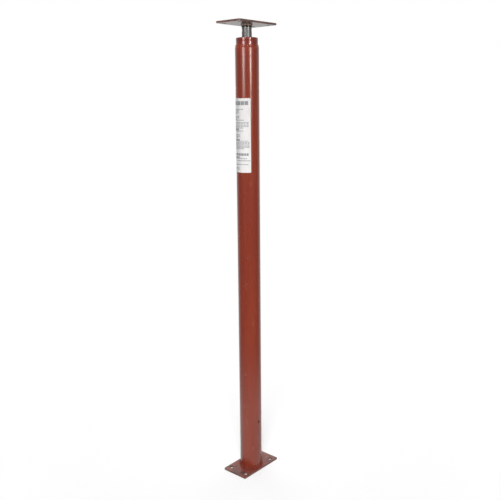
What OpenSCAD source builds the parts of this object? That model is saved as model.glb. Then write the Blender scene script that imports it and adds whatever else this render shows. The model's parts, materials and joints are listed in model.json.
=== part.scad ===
// Adjustable steel prop: a two-tube telescoping post with a screw head.
// Origin at the centre of the base plate's underside, +Z up, +X along the long side of the plates.
// The post stands fully closed, with its screw part of the way out.

/* [End plates] */
// Length of each end plate, along X
plate_len = 177.8; // [120:0.1:260]
// Width of each end plate, along Y
plate_wid = 98.4; // [90:0.1:200]
// Thickness of each end plate
plate_thk = 6.35; // [4:0.05:16]
// Corner radius of the plates
plate_corner_r = 3; // [0.5:0.1:9]
// Diameter of the four fixing holes
plate_hole_d = 14.3; // [6:0.1:16]
// Distance from a hole's centre to the short edge of the plate
hole_edge_x = 22.2; // [14:0.1:26]
// Distance from a hole's centre to the long edge of the plate
hole_edge_y = 16.2; // [12:0.1:18]

/* [Outer tube] */
// Outside diameter of the outer tube
tube_od = 76.2; // [72:0.1:90]
// Wall of the outer tube
tube_wall = 1.7; // [1.2:0.05:1.9]
// Length of the outer tube
tube_len = 1445; // [1300:1:2000]
// Length of the lip that closes in on the inner tube at the top
lip_len = 2.5; // [1.5:0.1:10]
// Length of the neck between the lip and the tube
lip_neck = 8; // [4:0.1:20]
// Diameter of the vent hole near the foot
vent_d = 8; // [3:0.1:14]
// Height of the vent hole above the base plate
vent_height = 171; // [30:1:400]
// Leg of the weld round the foot of the post
foot_weld_leg = 5; // [2:0.1:8]

/* [Inner tube] */
// Gap all round between the two tubes
slide_gap = 1.475; // [0.8:0.005:2.4]
// Wall of the inner tube
inner_wall = 1.7; // [1.2:0.05:3]
// How far the inner tube stands out of the outer one when closed
neck_out = 12.2; // [4:0.1:60]
// Length of the swaged guide at the inner tube's lower end
swage_len = 22; // [12:0.5:60]
// Length of the neck between the swaged guide and the tube
swage_neck = 8; // [4:0.5:20]

/* [Locking holes] */
// Diameter of the holes for the locking pin
lock_hole_d = 14.3; // [8:0.1:20]
// Distance from the outer tube's top to its locking hole
lock_drop = 131; // [126:0.5:160]
// Distance between the holes of the inner tube
lock_pitch = 101.6; // [40:0.1:120]
// Number of holes in the inner tube
lock_count = 11; // [2:1:12]
// Turn of the locking holes about the post
lock_turn = -48; // [-180:1:180]

/* [Screw] */
// Diameter of the adjusting screw
screw_d = 31.75; // [24:0.05:36]
// Length of screw that shows above the nut's cap
screw_out = 34; // [26:0.1:40]
// Length of screw below the nut
screw_tail = 66; // [40:0.5:68]
// Diameter of the spigot on which the head turns
spigot_d = 20; // [12:0.1:22]
// Height of the spigot
spigot_len = 9; // [7:0.1:11.5]
// Diameter of the hole for the turning bar
bar_hole_d = 11.5; // [8:0.1:16]
// Distance from the screw's shoulder down to the turning bar's hole
bar_hole_drop = 11; // [9:0.1:18]
// Diameter of the washer that stops the screw from below
stop_od = 50.8; // [42:0.1:60]
// Thickness of the stop washer
stop_thk = 4; // [2:0.1:8]
// Diameter of the pin that holds the stop washer
stop_pin_d = 6; // [4:0.1:8]
// Distance from the screw's lower end to the stop pin
stop_pin_up = 6; // [5:0.1:8]

/* [Nut and cap] */
// Thickness of the cap on the inner tube
cap_thk = 9.5; // [5:0.1:16]
// Depth of the step that enters the inner tube
cap_step = 6; // [3:0.1:10]
// Width of the bevel on the cap's edges
cap_bevel = 1; // [0.2:0.1:2]
// Distance across the flats of the nut
nut_af = 47.6; // [44:0.1:54]
// Height of the nut
nut_h = 25.4; // [15:0.1:28]
// Leg of the weld between the nut and the cap
nut_weld_leg = 3; // [1.5:0.1:4]

/* [Head] */
// Outside diameter of the socket under the top plate
socket_od = 34; // [30:0.1:44]
// Height of the socket
socket_h = 5; // [4:0.1:10]
// Leg of the weld between the socket and the plate
socket_weld_leg = 2.5; // [1.5:0.1:4]
// Outside diameter of the thrust washer
washer_od = 35.2; // [32:0.1:44]
// Thickness of the thrust washer
washer_thk = 2.2; // [1:0.1:4]

/* [Clearances] */
// Gap between the inner tube and the lip that guides it
guide_gap = 0.4; // [0.3:0.05:0.8]
// Gap all round the screw in its nut, spigot in its socket and pin in its hole
turn_gap = 0.3; // [0.2:0.05:0.6]
// Gap of a piece that is pressed or welded to the one beside it
weld_gap = 0.05; // [0.02:0.01:0.1]
// Gap below the inner tube when it rests on the base plate
rest_gap = 0.2; // [0.1:0.05:0.5]

/* [Hidden] */

round_fn = 96;     // facets of the round pieces when they are drawn
small_fn = 48;
arc_steps = 6;     // steps along a rounded edge or a neck
past = 1;          // how far a cutter reaches beyond what it cuts
rim_r = 1.2;       // rounding of the tubes' ends

paint_red = [0.56, 0.25, 0.17];
plate_steel = [0.42, 0.37, 0.35];
bare_steel = [0.60, 0.59, 0.58];
weld_grey = [0.36, 0.33, 0.31];

tube_r = tube_od / 2;
tube_bore_r = tube_r - tube_wall;
inner_r = tube_bore_r - slide_gap;
inner_bore_r = inner_r - inner_wall;
swage_r = tube_bore_r - guide_gap;
screw_r = screw_d / 2;
spigot_r = spigot_d / 2;

// Heights, from the floor up
tube_bottom = plate_thk;
tube_top = tube_bottom + tube_len;
inner_bottom = plate_thk + rest_gap;
inner_top = tube_top + neck_out;
cap_top = inner_top + cap_thk;
nut_top = inner_top - cap_step;
nut_bottom = nut_top - nut_h;
screw_bottom = nut_bottom - screw_tail;
shoulder = cap_top + screw_out;
washer_top = shoulder + washer_thk;
top_plate_bottom = washer_top + socket_h;
lock_height = tube_top - lock_drop;
bar_hole_height = shoulder - bar_hole_drop;
stop_pin_height = screw_bottom + stop_pin_up;
stop_bottom = stop_pin_height + stop_pin_d / 2;

// Points of a quarter circle about a centre, from one angle to the next
function arc(centre, r, from, to) =
    [for (i = [0 : arc_steps]) let (a = from + (to - from) * i / arc_steps)
        centre + r * [cos(a), sin(a)]];

// Points of a smooth neck in a tube's wall, from one radius and height to the next
function neck(from, to) =
    [for (i = [0 : arc_steps]) let (t = i / arc_steps)
        [from[0] + (to[0] - from[0]) * (1 - cos(180 * t)) / 2, from[1] + (to[1] - from[1]) * t]];

// Outline of a plate with rounded corners
module plate_outline() {
    inset_x = plate_len / 2 - plate_corner_r;
    inset_y = plate_wid / 2 - plate_corner_r;
    square([plate_len, 2 * inset_y], center = true);
    square([2 * inset_x, plate_wid], center = true);
    for (x = [-1, 1], y = [-1, 1])
        translate([x * inset_x, y * inset_y]) circle(plate_corner_r, $fn = small_fn);
}

// End plate with its four fixing holes, standing on z = 0
module end_plate() {
    difference() {
        linear_extrude(plate_thk) plate_outline();
        for (x = [-1, 1], y = [-1, 1])
            translate([x * (plate_len / 2 - hole_edge_x), y * (plate_wid / 2 - hole_edge_y), -past])
                cylinder(d = plate_hole_d, h = plate_thk + 2 * past, $fn = small_fn);
    }
}

// Concave fillet weld round a cylinder of radius r, with its flat side on z = 0
module ring_weld(r, leg) {
    inside = r + weld_gap;
    rotate_extrude($fn = round_fn)
        polygon(concat([[inside, 0]], arc([inside + leg, leg], leg, 270, 180)));
}

// Flat ring of a given bore
module ring(outer_r, bore_r, h) {
    difference() {
        cylinder(r = outer_r, h = h, $fn = round_fn);
        translate([0, 0, -past]) cylinder(r = bore_r, h = h + 2 * past, $fn = round_fn);
    }
}

// Round cutter across the post at a height
module cross_hole(d, length, height) {
    translate([0, 0, height]) rotate([0, 0, lock_turn]) rotate([0, 90, 0])
        cylinder(d = d, h = length, center = true, $fn = small_fn);
}

module base_plate() {
    color(plate_steel) end_plate();
}

module foot_weld() {
    color(weld_grey) translate([0, 0, plate_thk]) ring_weld(tube_r, foot_weld_leg);
}

// The lip is swaged inward until it guides the inner tube
module outer_tube() {
    lip_bore_r = inner_r + guide_gap;
    lip_outer_r = lip_bore_r + tube_wall;
    lip_bottom = tube_top - lip_len;
    neck_bottom = lip_bottom - lip_neck;
    outline = concat(
        [[tube_bore_r, tube_bottom], [tube_r, tube_bottom]],
        neck([tube_r, neck_bottom], [lip_outer_r, lip_bottom]),
        arc([lip_outer_r - rim_r, tube_top - rim_r], rim_r, 0, 90),
        [[lip_bore_r, tube_top]],
        neck([lip_bore_r, lip_bottom], [tube_bore_r, neck_bottom]));
    color(paint_red) difference() {
        rotate_extrude($fn = round_fn) polygon(outline);
        cross_hole(lock_hole_d, tube_od + 2 * past, lock_height);
        translate([0, 0, tube_bottom + vent_height]) rotate([90, 0, 0])
            cylinder(d = vent_d, h = tube_r + past, $fn = small_fn);
    }
}

// The foot is swaged outward until it is guided by the outer tube
module inner_tube() {
    swage_bore_r = swage_r - inner_wall;
    swage_top = inner_bottom + swage_len;
    neck_top = swage_top + swage_neck;
    outline = concat(
        [[swage_bore_r, inner_bottom]],
        arc([swage_r - rim_r, inner_bottom + rim_r], rim_r, 270, 360),
        neck([swage_r, swage_top], [inner_r, neck_top]),
        arc([inner_r - rim_r, inner_top - rim_r], rim_r, 0, 90),
        [[inner_bore_r, inner_top]],
        neck([inner_bore_r, neck_top], [swage_bore_r, swage_top]));
    color(paint_red) difference() {
        rotate_extrude($fn = round_fn) polygon(outline);
        for (i = [0 : lock_count - 1])
            cross_hole(lock_hole_d, 2 * (swage_r + past), lock_height - i * lock_pitch);
    }
}

module nut_cap() {
    step_r = inner_bore_r - weld_gap;
    bore_r = screw_r + turn_gap;
    outline = [
        [bore_r + cap_bevel, cap_top], [inner_r - cap_bevel, cap_top], [inner_r, cap_top - cap_bevel],
        [inner_r, inner_top + cap_bevel], [inner_r - cap_bevel, inner_top],
        [step_r, inner_top], [step_r, nut_top], [bore_r, nut_top], [bore_r, cap_top - cap_bevel]];
    color(paint_red) rotate_extrude($fn = round_fn) polygon(outline);
}

module screw_nut() {
    color(bare_steel) translate([0, 0, nut_bottom]) difference() {
        rotate([0, 0, lock_turn]) cylinder(d = nut_af / cos(30), h = nut_h, $fn = 6);
        translate([0, 0, -past]) cylinder(r = screw_r + turn_gap, h = nut_h + 2 * past, $fn = round_fn);
    }
}

// One short bead against the middle of each flat of the nut
module nut_weld() {
    bead_len = nut_af / 3;
    color(weld_grey) translate([0, 0, nut_top]) for (i = [0 : 5])
        rotate([0, 0, lock_turn + 30 + 60 * i]) translate([nut_af / 2, bead_len / 2, 0])
            rotate([90, 0, 0]) linear_extrude(bead_len)
                polygon([[0, 0], [nut_weld_leg, 0], [0, -nut_weld_leg]]);
}

module adjusting_screw() {
    edge = 1.5;
    outline = [
        [0, screw_bottom], [screw_r - edge, screw_bottom], [screw_r, screw_bottom + edge],
        [screw_r, shoulder - edge], [screw_r - edge, shoulder], [spigot_r, shoulder],
        [spigot_r, shoulder + spigot_len - edge], [spigot_r - edge, shoulder + spigot_len],
        [0, shoulder + spigot_len]];
    color(bare_steel) difference() {
        rotate_extrude($fn = round_fn) polygon(outline);
        cross_hole(bar_hole_d, screw_d + 2 * past, bar_hole_height);
        cross_hole(stop_pin_d + 2 * weld_gap, screw_d + 2 * past, stop_pin_height);
    }
}

module stop_washer() {
    color(bare_steel) translate([0, 0, stop_bottom]) ring(stop_od / 2, screw_r + weld_gap, stop_thk);
}

module stop_pin() {
    color(bare_steel) cross_hole(stop_pin_d, (screw_d + stop_od) / 2, stop_pin_height);
}

module thrust_washer() {
    color(bare_steel) translate([0, 0, shoulder]) ring(washer_od / 2, spigot_r + turn_gap, washer_thk);
}

module head_socket() {
    color(plate_steel) translate([0, 0, washer_top]) ring(socket_od / 2, spigot_r + turn_gap, socket_h);
}

module socket_weld() {
    color(weld_grey) translate([0, 0, top_plate_bottom]) mirror([0, 0, 1])
        ring_weld(socket_od / 2, socket_weld_leg);
}

// The plate has a blind seat for the spigot's end
module top_plate() {
    seat_depth = max(0, shoulder + spigot_len + turn_gap - top_plate_bottom);
    color(plate_steel) translate([0, 0, top_plate_bottom]) difference() {
        end_plate();
        translate([0, 0, -past])
            cylinder(r = spigot_r + turn_gap, h = past + seat_depth, $fn = small_fn);
    }
}

base_plate();
foot_weld();
outer_tube();
inner_tube();
nut_cap();
screw_nut();
nut_weld();
adjusting_screw();
stop_washer();
stop_pin();
thrust_washer();
head_socket();
socket_weld();
top_plate();
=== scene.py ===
"""Looks of an adjustable steel prop: two telescoping tubes, a screw head and two end plates.

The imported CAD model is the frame. Each class of a sub-assembly makes the meshes that show, gives them their
finishes and lets them ride on the body that they belong to. Lengths are in metres, and a size written in
millimetres is multiplied by MM.
"""

from __future__ import annotations

import json
import logging
import math
import random
from collections.abc import Callable, Iterable, Mapping, Sequence
from dataclasses import dataclass, field, replace
from enum import Enum
from functools import partial

import bmesh
import bpy
from mathutils import Matrix, Vector

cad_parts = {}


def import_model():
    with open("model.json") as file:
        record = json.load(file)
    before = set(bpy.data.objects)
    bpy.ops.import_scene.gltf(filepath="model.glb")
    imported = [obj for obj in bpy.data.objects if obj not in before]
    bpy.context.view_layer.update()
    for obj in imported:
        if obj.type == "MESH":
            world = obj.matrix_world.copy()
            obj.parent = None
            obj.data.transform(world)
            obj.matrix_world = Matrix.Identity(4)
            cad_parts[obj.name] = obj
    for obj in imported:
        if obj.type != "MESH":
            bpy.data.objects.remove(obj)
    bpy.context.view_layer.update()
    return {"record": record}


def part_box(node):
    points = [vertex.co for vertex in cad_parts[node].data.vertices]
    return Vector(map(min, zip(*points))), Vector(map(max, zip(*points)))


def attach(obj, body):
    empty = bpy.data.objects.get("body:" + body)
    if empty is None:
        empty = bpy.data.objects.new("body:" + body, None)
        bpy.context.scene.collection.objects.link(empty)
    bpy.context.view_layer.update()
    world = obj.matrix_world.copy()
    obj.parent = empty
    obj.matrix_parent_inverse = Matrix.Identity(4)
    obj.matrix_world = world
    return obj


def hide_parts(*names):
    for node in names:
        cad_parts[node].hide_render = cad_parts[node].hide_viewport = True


LOG = logging.getLogger("steel_prop")
MM = 0.001

AXIS_EPS = 1e-7  # a point that lies nearer the axis than this is a pole
MERGE_DISTANCE = 0.002 * MM  # points of a CAD mesh that lie nearer than this are one
SEAM_DISTANCE = 0.001 * MM  # the same for the ends of a bead that meet
FLAT_ANGLE = 0.5  # degrees up to which neighbouring faces are one flat face
ROUND_ANGLE = 40  # degrees above which an edge is rounded
ROUND_STEPS = 2  # faces across a rounded edge
SHARP_ANGLE = 34  # degrees above which an edge is shaded sharp
BEAD_SHARP_ANGLE = 50  # the same on a weld, whose ripples stay soft
TUBE_SEGMENTS = 160  # steps round a tube
HOLE_SEGMENTS = 48  # steps round a hole
HOLE_MARGIN = 4 * MM  # distance from a hole's edge to the rings that keep the faces round it short
CUTTER_REACH = 4  # length of a cutter, in radii of what it cuts

Point2 = tuple[float, float]
Point3 = tuple[float, float, float]
Span = tuple[float, float]
Object = bpy.types.Object
Mesh = bpy.types.Mesh
Material = bpy.types.Material
Tree = bpy.types.NodeTree
Node = bpy.types.Node
Socket = bpy.types.NodeSocket
Inputs = Mapping[str, object] | Sequence[object]


class Body(Enum):
    """Bodies of the prop that pieces ride on."""

    POST = "post"
    INNER = "inner"
    BEARING = "bearing"
    SCREW = "screw"
    HEAD = "head"


class Slot(Enum):
    """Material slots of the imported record."""

    TUBE = "tube_paint"
    INNER = "inner_paint"
    PLATE = "plate_steel"
    HEAD = "head_steel"
    WELD = "weld_steel"
    NUT = "nut_steel"
    SCREW = "screw_steel"
    WASHER = "washer_steel"


class Lay(Enum):
    """Which way the fine lines of worked steel run: the share of their frequency along each axis."""

    TURNED = (0.08, 0.08, 1)
    DRAWN = (1, 1, 0.06)
    FORGED = (1, 1, 1)


class Kind(Enum):
    """Kinds of node, each with the settings that make it what its name says."""

    MATERIAL_OUTPUT = ("ShaderNodeOutputMaterial", {})
    WORLD_OUTPUT = ("ShaderNodeOutputWorld", {})
    PRINCIPLED = ("ShaderNodeBsdfPrincipled", {})
    MATT = ("ShaderNodeBsdfDiffuse", {})
    GLOW = ("ShaderNodeEmission", {})
    MIX_SHADER = ("ShaderNodeMixShader", {})
    BACKGROUND = ("ShaderNodeBackground", {})
    RAY = ("ShaderNodeLightPath", {})
    COORDS = ("ShaderNodeTexCoord", {})
    STRETCH = ("ShaderNodeMapping", {})
    NOISE = ("ShaderNodeTexNoise", {})
    RAMP = ("ShaderNodeMapRange", {"interpolation_type": "SMOOTHSTEP"})
    BUMP = ("ShaderNodeBump", {})
    MIX_COLOUR = ("ShaderNodeMix", {"data_type": "RGBA"})
    MIX_VALUE = ("ShaderNodeMix", {"data_type": "FLOAT"})
    SPLIT = ("ShaderNodeSeparateXYZ", {})
    VECTOR = ("ShaderNodeCombineXYZ", {})
    DIRECTION = ("ShaderNodeVectorMath", {"operation": "NORMALIZE"})
    LENGTH = ("ShaderNodeVectorMath", {"operation": "LENGTH"})
    DOT = ("ShaderNodeVectorMath", {"operation": "DOT_PRODUCT"})
    SCALE_AXES = ("ShaderNodeVectorMath", {"operation": "MULTIPLY"})
    ADD = ("ShaderNodeMath", {"operation": "ADD"})
    SUBTRACT = ("ShaderNodeMath", {"operation": "SUBTRACT"})
    MULTIPLY = ("ShaderNodeMath", {"operation": "MULTIPLY"})
    MULTIPLY_ADD = ("ShaderNodeMath", {"operation": "MULTIPLY_ADD"})
    DIVIDE = ("ShaderNodeMath", {"operation": "DIVIDE"})
    MAXIMUM = ("ShaderNodeMath", {"operation": "MAXIMUM"})
    ABSOLUTE = ("ShaderNodeMath", {"operation": "ABSOLUTE"})
    POWER = ("ShaderNodeMath", {"operation": "POWER"})
    FRACT = ("ShaderNodeMath", {"operation": "FRACT"})
    SINE = ("ShaderNodeMath", {"operation": "SINE"})
    COSINE = ("ShaderNodeMath", {"operation": "COSINE"})
    TREE_INPUT = ("NodeGroupInput", {})
    TREE_OUTPUT = ("NodeGroupOutput", {})
    POSITION = ("GeometryNodeInputPosition", {})
    NUMBER_ATTRIBUTE = ("GeometryNodeInputNamedAttribute", {"data_type": "FLOAT"})
    GRID = ("GeometryNodeMeshGrid", {})
    SPIRAL = ("GeometryNodeCurveSpiral", {})
    TRAPEZOID = ("GeometryNodeCurvePrimitiveQuadrilateral", {"mode": "TRAPEZOID"})
    UPRIGHT_CURVE = ("GeometryNodeSetCurveNormal", {"mode": "Z_UP"})
    SWEEP = ("GeometryNodeCurveToMesh", {})
    TRANSFORM = ("GeometryNodeTransform", {})
    SET_POSITION = ("GeometryNodeSetPosition", {})
    MERGE = ("GeometryNodeMergeByDistance", {})
    PLACE_COPIES = ("GeometryNodeInstanceOnPoints", {})
    REALIZE = ("GeometryNodeRealizeInstances", {})
    SET_MATERIAL = ("GeometryNodeSetMaterial", {})


# ---------------------------------------------------------------- colours and nodes


def linear(hex_colour: str) -> tuple[float, float, float, float]:
    """Turns an sRGB hex colour into linear RGBA.

    Args:
        hex_colour: Six hex digits with a leading hash.

    Returns:
        Linear red, green, blue and an alpha of 1.
    """
    channels = [int(hex_colour[i : i + 2], 16) / 255 for i in (1, 3, 5)]
    values = [c / 12.92 if c <= 0.04045 else ((c + 0.055) / 1.055) ** 2.4 for c in channels]
    return (values[0], values[1], values[2], 1.0)


def add_node(tree: Tree, kind: Kind, inputs: Inputs = ()) -> Node:
    """Adds one node with its settings, and fills or links its inputs.

    Args:
        tree: The node tree that gets the node.
        kind: The kind of node.
        inputs: Values of its inputs, by name or in the order of those that the node shows. A value may be
            an output socket, or another node, whose first shown output is linked.

    Returns:
        The new node.
    """
    type_name, settings = kind.value
    node = tree.nodes.new(type_name)
    for key, value in settings.items():
        setattr(node, key, value)
    if isinstance(inputs, Mapping):
        pairs = [(node.inputs[key], value) for key, value in inputs.items()]
    else:
        pairs = list(zip([socket for socket in node.inputs if socket.enabled], inputs))
    for target, value in pairs:
        source = next(s for s in value.outputs if s.enabled) if isinstance(value, Node) else value
        if isinstance(source, Socket):
            tree.links.new(source, target)
        else:
            target.default_value = source
    return node


def blank_tree(owner: Material | bpy.types.World) -> Tree:
    """Empties the node tree of a material or a world.

    Args:
        owner: The material or world.

    Returns:
        Its tree, without nodes.
    """
    owner.use_nodes = True
    owner.node_tree.nodes.clear()
    return owner.node_tree


def level_radius(tree: Tree) -> Node:
    """How far a point lies from the Z axis."""
    coords = add_node(tree, Kind.COORDS).outputs["Object"]
    return add_node(tree, Kind.LENGTH, [add_node(tree, Kind.SCALE_AXES, [coords, (1, 1, 0)])])


def coats(tree: Tree, base: str, *layers: tuple[object, str]) -> object:
    """Lays colours over a base, one after another.

    Args:
        tree: The material's tree.
        base: The lowest colour, in hex.
        *layers: A mask and the colour, in hex, that shows where the mask is 1.

    Returns:
        The mixed colour.
    """
    colour: object = linear(base)
    for mask, over in layers:
        colour = add_node(tree, Kind.MIX_COLOUR, [mask, colour, linear(over)])
    return colour


def relief(tree: Tree, *layers: tuple[Node, float]) -> Node:
    """Stacks bumps on one another.

    Args:
        tree: The material's tree.
        *layers: A height and the depth of its bump, the lowest layer first.

    Returns:
        The node that gives the normal of them all.
    """
    below: dict[str, Node] = {}
    for height, depth in layers:
        inputs = {"Height": height, "Distance": depth, "Strength": 1.0, **below}
        below = {"Normal": add_node(tree, Kind.BUMP, inputs)}
    return below["Normal"]


@dataclass(frozen=True)
class Pattern:
    """Noise of a real size on Object coordinates, which can be cut to a mask.

    Attributes:
        size: About how far its lumps lie apart.
        span: Levels of the noise that become 0 and 1 in the mask.
        detail: How many finer layers it has.
        rough: How strong the finer layers are.
        stretch: Share of its frequency along each axis. A small one draws the lumps out.
    """

    size: float
    span: Span = (0.0, 1.0)
    detail: float = 3
    rough: float = 0.55
    stretch: Point3 = (1, 1, 1)

    def draw(self, tree: Tree) -> Node:
        """Adds the noise.

        Args:
            tree: The material's tree.

        Returns:
            The noise.
        """
        coords = add_node(tree, Kind.COORDS).outputs["Object"]
        place = add_node(tree, Kind.STRETCH, {"Vector": coords, "Scale": self.stretch})
        sizes = {"Scale": 1 / self.size, "Detail": self.detail, "Roughness": self.rough}
        return add_node(tree, Kind.NOISE, {"Vector": place, **sizes})

    def mask(self, tree: Tree) -> Node:
        """Adds the noise and cuts it between its two levels, with soft ends."""
        return add_node(tree, Kind.RAMP, [self.draw(tree), *self.span])


# ---------------------------------------------------------------- finishes


@dataclass(frozen=True)
class Finish:
    """What all finishes share: a name, and a Principled shader that they fill.

    Attributes:
        name: The material's name.
    """

    name: str

    def shader_inputs(self, tree: Tree) -> dict[str, object]:
        """Adds what the shader reads.

        Args:
            tree: The material's tree.

        Returns:
            Values, nodes and sockets by the names of the shader's inputs.
        """
        raise NotImplementedError

    def build(self) -> Material:
        """Makes the material.

        Returns:
            The material.
        """
        material = bpy.data.materials.new(self.name)
        tree = blank_tree(material)
        shader = add_node(tree, Kind.PRINCIPLED, self.shader_inputs(tree))
        add_node(tree, Kind.MATERIAL_OUTPUT, {"Surface": shader})
        return material


@dataclass(frozen=True)
class BrushedPaint(Finish):
    """Air-drying enamel over rolled steel, put on in one thin coat.

    To the eye it is a semi-gloss colour with cloudy mottling, faint vertical sags, orange peel, a little
    dust and small dark chips where the tube was knocked. A rub band is a pair of heights between which it is
    worn.
    """

    colour: str
    shade: str
    dust: str = "#B79A8C"
    chip: str = "#57382F"
    ior: float = 1.56
    roughness: float = 0.22
    mottle_roughness: float = 0.07
    dust_roughness: float = 0.5
    chip_roughness: float = 0.62
    mottle: Pattern = Pattern(70 * MM, (0.32, 0.70), 4, stretch=(1, 1, 0.16))
    mottle_share: float = 0.62
    sag: Pattern = Pattern(5 * MM, (0.35, 0.75), 2, stretch=(1, 1, 0.02))
    sag_share: float = 0.22
    dust_patch: Pattern = Pattern(26 * MM, (0.56, 0.82), 6, 0.7, (1, 1, 0.45))
    dust_grain: Pattern = Pattern(1.3 * MM, detail=2)
    dust_share: float = 0.10
    speck: Pattern = Pattern(4.5 * MM, (0.735, 0.765), 5, 0.62)
    chip_share: float = 0.25
    chip_depth: float = 0.05 * MM
    peel: Pattern = Pattern(2.4 * MM, detail=2, rough=0.5)
    peel_depth: float = 0.008 * MM
    wave: Pattern = Pattern(16 * MM, detail=2, rough=0.5, stretch=(1, 1, 0.16))
    wave_depth: float = 0.032 * MM
    rub: Pattern = Pattern(6 * MM, (0.80, 0.86), 6, 0.7)
    rub_push: float = 0.28
    rub_bands: tuple[Span, ...] = ()

    def shader_inputs(self, tree: Tree) -> dict[str, object]:
        """Colour, roughness and relief of the coat.

        Args:
            tree: The material's tree.

        Returns:
            The shader's inputs by name.
        """
        add = partial(add_node, tree)
        cloud = self.mottle.mask(tree)
        clouded = add(Kind.MULTIPLY, [cloud, self.mottle_share])
        tone = add(Kind.MULTIPLY_ADD, [self.sag.mask(tree), self.sag_share, clouded])
        grains = add(Kind.MULTIPLY, [self.dust_grain.draw(tree), 2 * self.dust_share])
        dusty = add(Kind.MULTIPLY, [self.dust_patch.mask(tree), grains])
        worn = self._worn(tree)
        rough = add(Kind.MIX_VALUE, [cloud, self.roughness, self.roughness + self.mottle_roughness])
        rough = add(Kind.ADD, [rough, add(Kind.MULTIPLY, [dusty, self.dust_roughness])])
        layers = ((tone, self.shade), (dusty, self.dust), (worn, self.chip))
        hollow = (add(Kind.SUBTRACT, [1.0, worn]), self.chip_depth)
        waves, peel = (self.wave.draw(tree), self.wave_depth), (self.peel.draw(tree), self.peel_depth)
        return {
            "Base Color": coats(tree, self.colour, *layers),
            "Roughness": add(Kind.MIX_VALUE, [worn, rough, self.chip_roughness]),
            "IOR": self.ior,
            "Normal": relief(tree, waves, peel, hollow),
        }

    def _worn(self, tree: Tree) -> Node:
        """Mask of the worn places: sparse specks, and ragged bands between two heights.

        Args:
            tree: The material's tree.

        Returns:
            The mask, which is 1 on bare primer.
        """
        add = partial(add_node, tree)
        mask = add(Kind.MULTIPLY, [self.speck.mask(tree), self.chip_share])
        height = add(Kind.SPLIT, [add(Kind.COORDS).outputs["Object"]]).outputs["Z"]
        ragged = self.rub.draw(tree)
        for low, high in self.rub_bands:
            away = add(Kind.ABSOLUTE, [add(Kind.SUBTRACT, [height, (low + high) / 2])])
            near = add(Kind.RAMP, [away, (high - low) / 2, 0.0])
            pushed = add(Kind.MULTIPLY_ADD, [near, self.rub_push, ragged])
            mask = add(Kind.MAXIMUM, [mask, add(Kind.RAMP, [pushed, *self.rub.span])])
        return mask


@dataclass(frozen=True)
class MillPlatePaint(Finish):
    """Hot-rolled flat bar under one thin coat of dark paint.

    To the eye it is a brown-grey semi-gloss over fine mill scale, with rust spots and lighter scuffs where
    it was dragged. Where it has a smear and reflection radius, a dark red is laid round the foot of a post of
    that radius: partly paint run off the post, partly the post's painted reflection and shade on the plate.
    """

    colour: str = "#7C4B3F"
    shade: str = "#4F312D"
    scuff: str = "#8F7068"
    rust: str = "#6A3A26"
    smear_and_reflection: str = "#722C22"
    roughness: float = 0.24
    scale_roughness: Span = (-0.06, 0.14)
    rust_roughness: float = 0.7
    cloud: Pattern = Pattern(34 * MM, (0.36, 0.68), 5, 0.6)
    scale: Pattern = Pattern(2.6 * MM, (0.5, 0.8), 4, 0.65)
    scale_share: float = 0.35
    scale_depth: float = 0.04 * MM
    rust_spot: Pattern = Pattern(9 * MM, (0.62, 0.74), 6, 0.7)
    rust_share: float = 0.55
    drag: Pattern = Pattern(1.6 * MM, (0.66, 0.78), 4, 0.6, (0.12, 1, 1))
    drag_share: float = 0.5
    dent: Pattern = Pattern(14 * MM, detail=2)
    dent_depth: float = 0.12 * MM
    smear_and_reflection_radius: float = 0.0
    smear_and_reflection_edge: Pattern = Pattern(16 * MM, detail=4, rough=0.6)
    smear_and_reflection_wander: float = 40 * MM
    smear_and_reflection_reach: Span = (60 * MM, 22 * MM)
    smear_and_reflection_share: float = 0.85

    def shader_inputs(self, tree: Tree) -> dict[str, object]:
        """Colour, roughness and relief of the bar.

        Args:
            tree: The material's tree.

        Returns:
            The shader's inputs by name.
        """
        add = partial(add_node, tree)
        scale, rust = self.scale.draw(tree), self.rust_spot.mask(tree)
        dark = add(Kind.MULTIPLY, [add(Kind.RAMP, [scale, *self.scale.span]), self.scale_share])
        layers: list[tuple[object, str]] = [
            (self.cloud.mask(tree), self.shade),
            (dark, self.shade),
            (add(Kind.MULTIPLY, [rust, self.rust_share]), self.rust),
        ]
        # the post's red round its foot: partly run-off paint, partly the post's painted reflection and shade
        if self.smear_and_reflection_radius:
            layers.append((self._smear_and_reflection(tree), self.smear_and_reflection))
        layers.append((add(Kind.MULTIPLY, [self.drag.mask(tree), self.drag_share]), self.scuff))
        smooth_part, rough_part = (self.roughness + extra for extra in self.scale_roughness)
        rough = add(Kind.MIX_VALUE, [scale, smooth_part, rough_part])
        return {
            "Base Color": coats(tree, self.colour, *layers),
            "Roughness": add(Kind.MIX_VALUE, [rust, rough, self.rust_roughness]),
            "Normal": relief(tree, (scale, self.scale_depth), (self.dent.draw(tree), self.dent_depth)),
        }

    def _smear_and_reflection(self, tree: Tree) -> Node:
        """Mask of the dark red round the foot of the post: partly run-off paint, partly its painted
        reflection and shade.

        Args:
            tree: The material's tree.

        Returns:
            The mask, which is at its highest next to the post.
        """
        edge = [self.smear_and_reflection_edge.draw(tree), self.smear_and_reflection_wander, level_radius(tree)]
        ends = [self.smear_and_reflection_radius + reach for reach in self.smear_and_reflection_reach]
        smear_and_reflection_mask = add_node(tree, Kind.RAMP, [add_node(tree, Kind.MULTIPLY_ADD, edge), *ends])
        return add_node(tree, Kind.MULTIPLY, [smear_and_reflection_mask, self.smear_and_reflection_share])


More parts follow.
